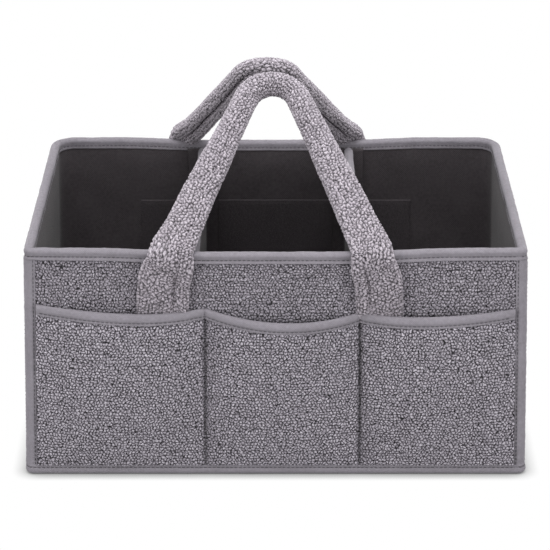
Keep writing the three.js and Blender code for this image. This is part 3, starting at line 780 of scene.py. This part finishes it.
def make_corner_tape(side, sign, seed):
    z = np.arange(BOTTOM_TAPE_WIDTH - 0.6, RIM - RIM_TAPE_WIDTH + 0.8, 1.2)
    stitch_in = 1.6

    def path(inset):
        leg = np.linspace(FRONT_RADIUS - CORNER_TAPE_WIDTH, 0, 6)[:-1]
        angle = np.linspace(-QUARTER, 0, 11)
        r = FRONT_RADIUS - inset
        cx, cy = HALF_LENGTH - FRONT_RADIUS, FRONT_RADIUS - HALF_DEPTH
        arch = packed(cx + r * np.cos(angle), cy + r * np.sin(angle))
        rear = packed(HALF_LENGTH - inset, cy - leg[::-1])
        return joined(packed(cx + leg, inset - HALF_DEPTH), arch, rear)

    profile, is_outer, run = tape_section(path)
    from_edge = np.minimum(run, run.max() - run)
    way = np.gradient(path(0.0), axis=0)
    away = unit(packed(way[:, 1], -way[:, 0]))
    away = joined(away, away[::-1])
    pucker = puckers(z, run, seed, (0.22, 3.2, 5), (0.2, 10))
    lift = (pucker - 0.45 * dent(from_edge - stitch_in, 0.55) - 0.3 * dent(from_edge, 0.6)) * is_outer
    (x, y), (ax, ay) = profile.T, away.T
    points = packed(sign * (x + ax * lift), y + ay * lift, z[:, None])
    make_tape(f"{side}_corner_tape", on_walls(points), z, run, run.max(), z[-1] - z[0],
              "wrap_panel", "front_panel")
    inner = CORNER_TAPE_WIDTH - stitch_in
    for name, x, y, face in (("front", HALF_LENGTH - inner, 0.2 - HALF_DEPTH, (0, -1.0, 0)),
                             ("side", HALF_LENGTH - 0.2, inner - HALF_DEPTH, (sign * 1.0, 0, 0))):
        make_stitches(f"{side}_corner_{name}_stitches", on_walls(packed(sign * x, y, z)), np.array(face))


# Handles
def handle_middle(bend_radius, pull):
    """The middle line of half a handle, from behind the pocket to the grip's middle, and its lean."""
    low = np.linspace(STRAP_LOW, STRAP_HIGH, 40)
    below = STRAP_HIGH - low
    place = STRAP_PLACE - 0.4 * pull
    off_tape = 1 - ease((low - 173) / 5)
    thick = 3.4 + 3.1 * ease((low - 132) / 14)
    strap = packed(
        place + 3.6 * ease(below / 20) + (4.0 + 0.4 * pull) * below / (STRAP_HIGH - STRAP_LOW),
        -(HALF_DEPTH + FLARE * (1 - low / RIM) - 1.2 * off_tape) - 0.3 - thick / 2,
        low)

    # Over the rim
    bend = np.linspace(0, HANDLE_LEAN, 14)[1:]
    radius, centre_y, centre_z = 7.4, -HALF_DEPTH + 3.7, 182.5
    over = packed(place, centre_y - radius * np.cos(bend), centre_z + radius * np.sin(bend))

    # The leg and the bend of the grip, in the plane that leans in from the hinge
    sin, cos = math.sin(HANDLE_LEAN), math.cos(HANDLE_LEAN)
    foot_y, foot_z = over[-1, 1] + HINGE_Y, over[-1, 2] - HINGE_Z
    rise0, out0 = foot_y * sin + foot_z * cos, -foot_y * cos + foot_z * sin
    bend_middle = HANDLE_RISE - bend_radius
    slant = math.acos(bend_radius / math.hypot(place, bend_middle)) - math.atan2(bend_middle, place)
    meet = np.array([bend_radius * math.cos(slant), bend_middle + bend_radius * math.sin(slant)])
    share = np.linspace(0, 1, 90)[1:]
    start = np.array([place, rise0])
    leg = start + (meet - start) * share[:, None]
    leg[:, 0] -= 0.6 * pull * (1 - np.exp(-share * 7)) * (1 - share)
    turn = np.linspace(slant, QUARTER, 30)[1:]
    top = packed(bend_radius * np.cos(turn), bend_middle + bend_radius * np.sin(turn))
    x, rise = joined(leg, top).T
    sunk = 4.0
    out = -sunk + (out0 + sunk) * np.exp(-(rise - rise0) / 22)
    arm = packed(x, rise * sin - out * cos - HINGE_Y, rise * cos + out * sin + HINGE_Z)
    lean = joined(np.zeros(len(strap)), bend, np.full(len(arm), HANDLE_LEAN))
    return joined(strap, over, arm), lean


def smoothed(values, run, width, step=0.5):
    """Values along a line at even steps, averaged over a width."""
    even = np.arange(0, run[-1], step)
    table = columns_at(even, run, values)
    reach = int(3 * width / step)
    weights = np.exp(-0.5 * (np.arange(-reach, reach + 1) * step / width) ** 2)
    weights /= weights.sum()
    before, after = 2 * table[:1] - table[1:reach + 1][::-1], 2 * table[-1:] - table[-reach - 1:-1][::-1]
    ends = joined(before, table, after)
    return even, np.stack([np.convolve(ends[:, k], weights, "valid") for k in range(values.shape[1])], -1)


def handle_line(stand, bend_radius, pull):
    """Stations along a handle: the length, the middle line, and the ways of its width and thickness."""
    line, lean = handle_middle(bend_radius, pull)
    line = joined(line, line[:-1][::-1] * np.array([-1, 1, 1]))
    lean = joined(lean, lean[:-1][::-1])
    even, data = smoothed(np.concatenate([line, lean[:, None]], 1), lengths(line), 2.5)
    s = np.arange(0, even[-1], 0.75)
    data = columns_at(s, even, data)
    middle, lean = data[:, :3], data[:, 3] * (1 - stand)
    way = unit(np.gradient(middle, axis=0))
    out = packed(0.0, -np.cos(lean), np.sin(lean))
    out = unit(out - way * (out * way).sum(1)[:, None])
    return s, middle, np.cross(way, out), out


def even_rings(dense, sides):
    """Rings with a number of points at even distances, from finer closed rings, and their girths."""
    rings = np.zeros((len(dense), sides, 3))
    girths = np.zeros(len(dense))
    for k, ring in enumerate(dense):
        run = lengths(ring)
        girths[k] = run[-1]
        rings[k] = columns_at(girths[k] * np.arange(sides) / sides, run, ring)
    return rings, girths


def make_handle(side, seed, spread, round_from, plump, stand, bend_radius, pull, fan):
    """One handle: a flat strap, sewn on at both ends, that turns into a round grip. spread is its extra width
    at the rim, plump its thickness there, round_from the share of its length over which it turns round, stand
    how upright its section stays, pull how far its legs draw in, and fan how far one strap fans out."""
    s, middle, wide, out = handle_line(stand, bend_radius, pull)
    half = s[-1] / 2
    from_end = np.minimum(s, s[-1] - s)

    # The width and thickness of the section, and how square it is
    gone = np.clip((from_end - FOOT) / (half - FOOT), 0, 1)
    round_share = ease(gone / round_from)
    sewn = ease((FOOT + 4 - from_end) / 22)
    fanned = fan * ease((FOOT + 30 - from_end) / 50) * (s > half)
    middle[:, 0] -= fanned
    tucked = 7.0 * ease((17 - from_end) / 5)
    half_width = (GRIP_WIDE + spread * (1 - gone) ** 1.5 + (17.5 - spread) * sewn) / 2 + fanned - tucked
    strap_thick = 2.6 + 3.0 * ease((from_end - 17) / 14)
    arm_thick = plump + (GRIP_THICK - plump) * round_share
    half_thick = (strap_thick + (arm_thick - strap_thick) * ease((from_end - FOOT + 14) / 28)) / 2
    power = 4.2 + (2.0 - 4.2) * round_share

    # The section, with the seam underneath and the crease on top
    fine = 420
    angle = 2 * math.pi * np.arange(fine + 1) / fine - QUARTER
    c, sn = np.cos(angle), np.sin(angle)
    c[[0, -1]] = 0.0
    e = (2 / power)[:, None]
    across = np.sign(c) * np.abs(c) ** e
    through = np.sign(sn) * np.abs(sn) ** e
    rise = ease((from_end - FOOT - 4) / 26) * ease((half - from_end) / 16 + 0.35)
    under = through < 0
    a = across * half_width[:, None]
    seam = dent(a, 2.8) * under * (0.6 * half_thick * rise)[:, None]
    fold = ease((from_end - 44) / 22) * ease((half - from_end - 26) / 30)
    gather = ease((from_end - 20) / 12) * ease((FOOT - from_end) / 20)
    crease = dent((across + 0.42) * half_width[:, None], 1.9) * ~under
    crease = crease * (1.3 * fold + 3.1 * gather)[:, None]
    b = half_thick[:, None] * through + seam - crease
    dense = middle[:, None] + wide[:, None] * a[..., None] + out[:, None] * b[..., None]
    sides = 108
    ring, girth = even_rings(dense, sides)

    # The pile
    v = girth[:, None] * (np.arange(sides) / sides - 0.5)
    u = s[:, None]
    clump = drift(u / 4.2, v / 4.2, seed + 60)
    flattened = 0.1 * ease((FOOT - from_end) / 24)
    pile = curled(u, v, SHERPA_NUB, seed, SHERPA_FINE) * (0.94 + 0.08 * clump) * (1 - flattened[:, None])
    normal = unit(np.cross(np.gradient(ring, axis=0), np.roll(ring, -1, axis=1) - np.roll(ring, 1, axis=1)))
    outward = (normal * (ring - middle[:, None])).sum(-1).mean()
    normal = normal if outward > 0 else -normal
    loft = 0.55 + 0.45 * ease((from_end - 18) / 14)
    loose = 0.5 * drift(u / 26, v / 26, seed + 7)
    raised = (pile * SHERPA_RISE - 0.6) * loft[:, None] + loose * rise[:, None]
    ring = settled(ring + normal * raised[..., None])
    if side == "rear":
        ring = turned(ring)
    ring[..., 0] += FRONT_HANDLE_SHIFT if side == "front" else REAR_HANDLE_SHIFT
    piece = lofted(f"{side}_handle", ring, sherpa, pile=pile)
    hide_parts(f"{side}_handle_cover", f"{side}_handle_core", f"{side}_left_strap_end",
                f"{side}_right_strap_end")
    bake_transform(piece)


# Inside and base
def make_lining(name, node, edge, u, seed, *rests_on):
    z = np.linspace(INNER_BOTTOM, WALL_TOP, 46)
    height = 0.12 * drift(u[:, None] / 24, z / 24, seed)
    piece = slab(name, upright(edge, z), 0.5, lining, height, cloth=packed(u[:, None], z))
    sew(piece, "lining", node, abs(u[-1] - u[0]), WALL_TOP - INNER_BOTTOM, "stretched", *rests_on)


def make_linings():
    """The linings of the walls. Their stations run the other way from the panels', to face inwards."""
    edge = plan(plan_stations(4.0, closed=False), LINING_IN)
    make_lining("wrap_lining_cloth", "wrap_lining", edge[::-1], lengths(edge)[::-1], 61,
                "left_board", "right_board", "rear_board")
    half = HALF_LENGTH - LINING_IN - 0.7
    x = np.linspace(half, -half, 94)
    make_lining("front_lining_cloth", "front_lining", packed(x, LINING_IN - HALF_DEPTH), x, 62,
                "front_board")


def corner_cut(radius, from_edge):
    """How far a rounded corner takes back the ends of a row, at a distance from its edge."""
    into = np.clip(radius - from_edge, 0, radius)
    return radius - np.sqrt(radius ** 2 - into ** 2)


def make_floor_cloth():
    """The lining of the floor, as a grid of rows from the rear to the front."""
    inset, top = LINING_IN + 0.3, 5.8
    y = np.linspace(HALF_DEPTH - inset, inset - HALF_DEPTH, 60)
    front, rear = max(FRONT_RADIUS - inset, LEAST_RADIUS), max(REAR_RADIUS - inset, LEAST_RADIUS)
    width = HALF_LENGTH - inset - corner_cut(front, y - y[-1]) - corner_cut(rear, y[0] - y)
    xx = width[:, None] * np.linspace(-1, 1, 84)
    y = y[:, None]
    height = 0.1 * drift(xx / 20, y / 20, 63) - 0.1
    piece = slab("floor_cloth", flared(packed(xx, y, top)), 0.5, lining, height, cloth=packed(xx, y))
    sew(piece, "lining", "floor_lining", 2 * (HALF_LENGTH - inset), 2 * (HALF_DEPTH - inset), "laid",
        "base_board")


def make_bottom_cloth():
    """The cloth under the base, seen from below inside the bound edge."""
    inset, under = 4.2, 1.6
    half = HALF_LENGTH - inset
    y = np.linspace(HALF_DEPTH - inset, inset - HALF_DEPTH, 80)
    narrowed = (half - corner_cut(REAR_RADIUS - inset, y[0] - y)) / half
    xx = np.linspace(-half, half, 110)[:, None] * narrowed
    height = 0.08 * drift(xx / 22, y / 22, 66)
    piece = slab("bottom_cloth", flared(packed(xx, y, under)), 0.4, tape, height, cloth=packed(xx, y))
    sew(piece, "tape", "bottom_cover", 2 * half, 2 * (HALF_DEPTH - inset), "stretched", "base_board")


def make_boards():
    """The front and rear boards follow the bow of their walls. The others keep their flat solids."""
    for side, half, sign in (("front", HALF_LENGTH - FRONT_RADIUS - 1.5, -1), ("rear", 170.2, 1)):
        edge = packed(np.linspace(-half, half, 60)[::-sign], sign * (HALF_DEPTH - BOARD_IN))
        outer = upright(edge, np.linspace(INNER_BOTTOM, WALL_TOP, 30))
        piece = slab(f"{side}_stiffener", outer, 1.3, board)
        dress(piece, f"{side}_board")


def make_loop_band(side, sign, seed):
    """A band of loop tape on the lining, with rounded edges and a soft pile."""
    half, tall = 115.0, 30
    low, high = HOOK_MIDDLE - tall, HOOK_MIDDLE + tall
    x = np.linspace(-half, half, 230)[::sign]
    z = np.linspace(low, high, 61)
    from_edge = np.minimum(np.minimum(x + half, half - x)[:, None], np.minimum(z - low, high - z))
    outer = upright(packed(x, sign * (HALF_DEPTH - LINING_IN - 1.2)), z)
    fuzz = loops_of_yarn(x[:, None], z, 1.6, seed)
    height = 0.3 * fuzz - 0.5 * np.exp(-from_edge / 0.6) - 0.25 * dent(from_edge - 2.2, 0.5)
    piece = slab(f"{side}_loop_tape", outer, 0.7, loop_pile, height, fuzz, back_rows=9)
    sew(piece, "hook_and_loop", f"{side}_loop_band", 2 * half, high - low, "laid",
        "front_lining_cloth" if side == "front" else "wrap_lining_cloth")


# Dividers
HOOK_FACE = HALF_DEPTH - LINING_IN - 1.5
WEB_END = HOOK_FACE - 2.2
WEB_HALF = 2.2


def leaned(y, z):
    """The depth of a divider's point at a height, as the front and rear walls lean."""
    return y * (1 + FLARE * (1 - z / RIM) / HALF_DEPTH)


def make_divider_cloths(body, middle_x, seed):
    """The two halves of the cover, each with a flap at both ends."""
    flap_half, bend = 13.0, 2.0
    bottom, top = 6.1, 178.5
    turn = np.linspace(0, QUARTER, 7)
    fillet = packed(WEB_HALF + bend * (1 - np.cos(turn)), WEB_END - bend * (1 - np.sin(turn)))
    corner = joined(fillet, packed(np.linspace(WEB_HALF + bend, flap_half, 9)[1:], WEB_END))
    web = packed(WEB_HALF, np.linspace(bend - WEB_END, WEB_END - bend, 72)[1:-1])
    section = joined((corner * [1, -1])[::-1], web, corner)
    around = lengths(section)[:, None]
    z = np.linspace(bottom, top, 58)
    for hand, sign in (("left", -1), ("right", 1)):
        u, (across, along) = around[::sign], section[::sign].T[..., None]
        outer = packed(middle_x + sign * across, leaned(along, z), z)
        height = 0.2 * drift(u / 26, z / 26, seed + sign) - 0.1
        piece = slab(f"{body}_{hand}_cloth", outer, 0.8, lining, height, cloth=packed(u, z))
        sew(piece, "lining", f"{body}_cover", around.max(), top - bottom, "folded", f"{body}_board",
            body=body)


def make_divider_tape(body, middle_x, seed):
    ends = WEB_END - 0.4
    width, stitch_up = 7.4, 2.0
    bottom = DIVIDER_TAPE_TOP - DIVIDER_TAPE_WIDTH
    y = np.arange(-ends, ends, 1.4)
    profile, is_outer, run = tape_section(folded_path(width, DIVIDER_TAPE_WIDTH, DIVIDER_TAPE_TOP))
    above = profile[:, 1] - bottom
    pucker = puckers(y, run, seed, (0.2, 3.3, 6), (0.2, 11))
    lift = (pucker - 0.45 * dent(above - stitch_up, 0.6) - 0.3 * dent(above, 0.7)) * is_outer
    points = packed(middle_x + profile[:, 0] + np.sign(profile[:, 0]) * lift, y[:, None], profile[:, 1])
    make_tape(f"{body}_tape", points, y, run, run.max(), 2 * ends,
              f"{body}_left_cloth", f"{body}_right_cloth", body=body)
    for hand, sign in (("left", -1), ("right", 1)):
        line = packed(middle_x + sign * (width / 2 - 0.15), y, bottom + stitch_up)
        make_stitches(f"{body}_{hand}_stitches", line, np.array([sign * 1.0, 0, 0]), body)


def make_divider_hooks(body, middle_x, seed):
    half, tall = 10, 25
    for end, sign in (("front", -1), ("rear", 1)):
        x = np.linspace(-half, half, 41)[::-sign, None]
        z = np.linspace(HOOK_MIDDLE - tall, HOOK_MIDDLE + tall, 91)
        outer = packed(x + middle_x, leaned(sign * (HOOK_FACE - 0.25), z), z)
        hooks = cells(x, z, 1.5, seed, 1.0)
        from_edge = np.minimum(half - np.abs(x), tall - np.abs(z - HOOK_MIDDLE))
        height = 0.25 * hooks - 0.3 * np.exp(-from_edge / 0.5)
        piece = slab(f"{body}_{end}_hooks", outer, 0.5, loop_pile, height, hooks, back_rows=5)
        sew(piece, "hook_and_loop", f"{body}_{end}_hook", 2 * half, 2 * tall, "laid",
            f"{body}_left_cloth", f"{body}_right_cloth", body=body)


def make_divider(side, middle_x, seed):
    """A board in a cloth cover with flaps at both ends, a bound top edge and hook tape on the flaps."""
    body = f"{side}_divider"
    make_divider_cloths(body, middle_x, seed)
    make_divider_tape(body, middle_x, seed + 3)
    make_divider_hooks(body, middle_x, seed + 8)


make_panels()
make_pocket("front", FRONT_POCKET_HALF, step=0.52, seed=71)
make_pocket("rear", REAR_POCKET_HALF, step=0.62, seed=81)
make_rim_tape()
make_bottom_tape()
make_corner_tape("right", 1, seed=91)
make_corner_tape("left", -1, seed=95)
make_handle("front", 101, spread=12.5, round_from=0.7, plump=7.0, stand=0.0, bend_radius=22.0,
            pull=0.0, fan=1.7)
make_handle("rear", 111, spread=3.0, round_from=0.5, plump=12.5, stand=0.8, bend_radius=20.0,
            pull=9.0, fan=0.0)
make_linings()
make_floor_cloth()
make_bottom_cloth()
make_boards()
make_loop_band("front", -1, seed=131)
make_loop_band("rear", 1, seed=137)
make_divider("left", -62.0, seed=141)
make_divider("right", 62.0, seed=151)

# CAD nodes that keep their shape
for node in ("left_board", "right_board", "base_board", "left_divider_board", "right_divider_board"):
    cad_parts[node].data.materials.clear()
    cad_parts[node].data.materials.append(board)


# Stage, in metres
def seen_plainly(tree):
    """1 for rays from the camera and for mirrored ones, 0 for the light that falls on the caddy."""
    path = add(tree, "LightPath")
    return calc(tree, "MAXIMUM", path.outputs["Is Camera Ray"], path.outputs["Is Glossy Ray"])


def make_floor():
    """A white floor that shows only the shadow right beside the caddy."""
    mesh = bpy.data.meshes.new("floor")
    mesh.from_pydata([(-6, -6, 0), (6, -6, 0), (6, 6, 0), (-6, 6, 0)], [], [(0, 1, 2, 3)])
    floor = linked("floor", mesh)
    material, tree, shader = nodes_of("floor_white")
    plug(tree, shader, Base_Color=(0.5, 0.5, 0.5, 1), Roughness=1.0)
    shade = add(tree, "AmbientOcclusion", Distance=0.012, samples=16)
    glow = add(tree, "Emission", Strength=1.0, Color=shade.outputs["Color"])
    mix = add(tree, "MixShader", seen_plainly(tree), shader.outputs[0], glow.outputs[0])
    plug(tree, tree.nodes["Material Output"], Surface=mix.outputs[0])
    mesh.materials.append(material)


def make_world():
    world = bpy.data.worlds.new("studio")
    bpy.context.scene.world = world
    world.use_nodes = True
    tree = world.node_tree
    level = add(tree, "MapRange", Value=seen_plainly(tree), To_Min=0.34, To_Max=1.0)
    plug(tree, tree.nodes["Background"], Color=(1, 1, 1, 1), Strength=level.outputs["Result"])


def make_lamps():
    for name, place, aim_height, size, power in (
        ("overhead", (0.0, -0.1, 1.6), 0.1, 1.3, 24.5),
        ("overhead_front", (0.0, -0.9, 1.7), 0.1, 1.2, 10.0),
        ("low_left", (-1.9, -1.5, 0.35), 0.15, 1.2, 32.0),
        ("low_right", (1.9, -1.5, 0.35), 0.15, 1.2, 30.0),
        ("rear_left", (-1.7, 1.7, 0.6), 0.15, 1.2, 14.0),
        ("rear_right", (1.7, 1.7, 0.6), 0.15, 1.2, 14.0),
    ):
        lamp = bpy.data.lights.new(name, "AREA")
        lamp.shape = "SQUARE"
        lamp.size = size
        lamp.energy = power
        holder = linked(name, lamp)
        holder.location = place
        aim = Vector((0.0, 0.0, aim_height)) - Vector(place)
        holder.rotation_euler = aim.to_track_quat("-Z", "Y").to_euler()


def make_camera():
    camera = bpy.data.cameras.new("camera")
    camera.sensor_width = 36.0
    camera.lens = 163.02
    camera.clip_end = 50.0
    holder = linked("camera", camera)
    holder.location = (-0.0005, -1.8892, 0.8517)
    looks_down = 21.38
    holder.rotation_euler = (math.radians(90 - looks_down), 0, 0)
    bpy.context.scene.camera = holder
    bpy.context.scene.view_settings.view_transform = "Standard"


make_floor()
make_world()
make_lamps()
make_camera()
